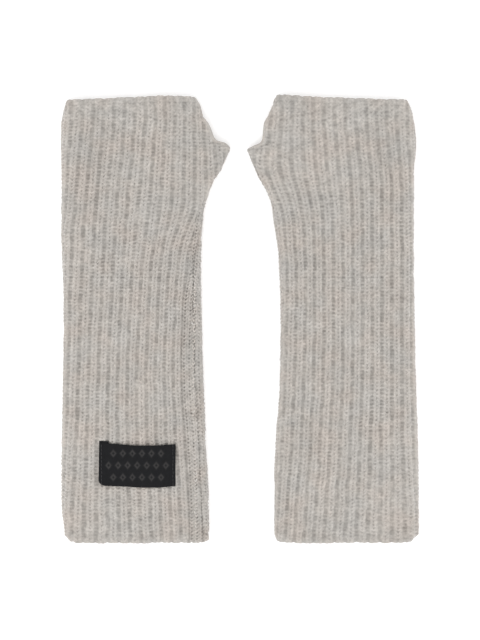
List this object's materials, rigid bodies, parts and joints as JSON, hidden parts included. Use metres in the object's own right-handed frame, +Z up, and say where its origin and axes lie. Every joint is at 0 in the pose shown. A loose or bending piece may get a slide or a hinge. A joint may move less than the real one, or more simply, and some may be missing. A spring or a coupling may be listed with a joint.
{
  "type": "pair of fingerless gloves",
  "caption": "Pair of long ribbed-knit fingerless gloves laid flat, each open at the fingers, thumb and cuff, with a flared thumb gusset; the left has a woven label.",
  "frame": {"origin": "middle of the pair, on the surface the gloves lie on", "axes": "+Z up from the surface to the backs of the hands, +Y towards the fingers, +X from the left glove to the right glove"},
  "size_m": [0.2488, 0.314, 0.0143],
  "materials": {
    "knit": "soft heathered rib knit, matt",
    "knit_edge": "bound knit edge, matt",
    "seam_yarn": "linked seam in the same yarn, matt",
    "label": "dark woven tape with a slight sheen",
    "label_thread": "dark sewing thread"
  },
  "bodies": {
    "left_forearm": {"left_forearm_tube": "knit", "left_cuff_edge": "knit_edge", "left_forearm_seam": "seam_yarn", "left_label": "label", "left_label_stitches": "label_thread"},
    "left_hand": {"left_hand_tube": "knit", "left_finger_edge": "knit_edge", "left_hand_seam": "seam_yarn", "left_upper_seam": "seam_yarn"},
    "left_thumb": {"left_thumb_gusset": "knit", "left_thumb_edge": "knit_edge", "left_thumb_seam": "seam_yarn"},
    "right_forearm": {"right_forearm_tube": "knit", "right_cuff_edge": "knit_edge", "right_forearm_seam": "seam_yarn"},
    "right_hand": {"right_hand_tube": "knit", "right_finger_edge": "knit_edge", "right_hand_seam": "seam_yarn", "right_upper_seam": "seam_yarn"},
    "right_thumb": {"right_thumb_gusset": "knit", "right_thumb_edge": "knit_edge", "right_thumb_seam": "seam_yarn"}
  },
  "joints": [
    {"name": "left_wrist_bend", "type": "hinge", "parent": "left_forearm", "child": "left_hand", "pos_m": [-0.075, 0.058, 0.014], "axis": [1, 0, 0], "range_deg": [0, 70]},
    {"name": "left_thumb_fold", "type": "hinge", "parent": "left_hand", "child": "left_thumb", "pos_m": [-0.02705, 0.108, 0.014], "axis": [0, -1, 0], "range_deg": [0, 60]},
    {"name": "pair_slide", "type": "slide", "parent": "left_forearm", "child": "right_forearm", "axis": [1, 0, 0], "range_m": [0, 0.12]},
    {"name": "right_wrist_bend", "type": "hinge", "parent": "right_forearm", "child": "right_hand", "pos_m": [0.075, 0.058, 0.014], "axis": [1, 0, 0], "range_deg": [0, 70]},
    {"name": "right_thumb_fold", "type": "hinge", "parent": "right_hand", "child": "right_thumb", "pos_m": [0.02705, 0.108, 0.014], "axis": [0, 1, 0], "range_deg": [0, 60]}
  ]
}
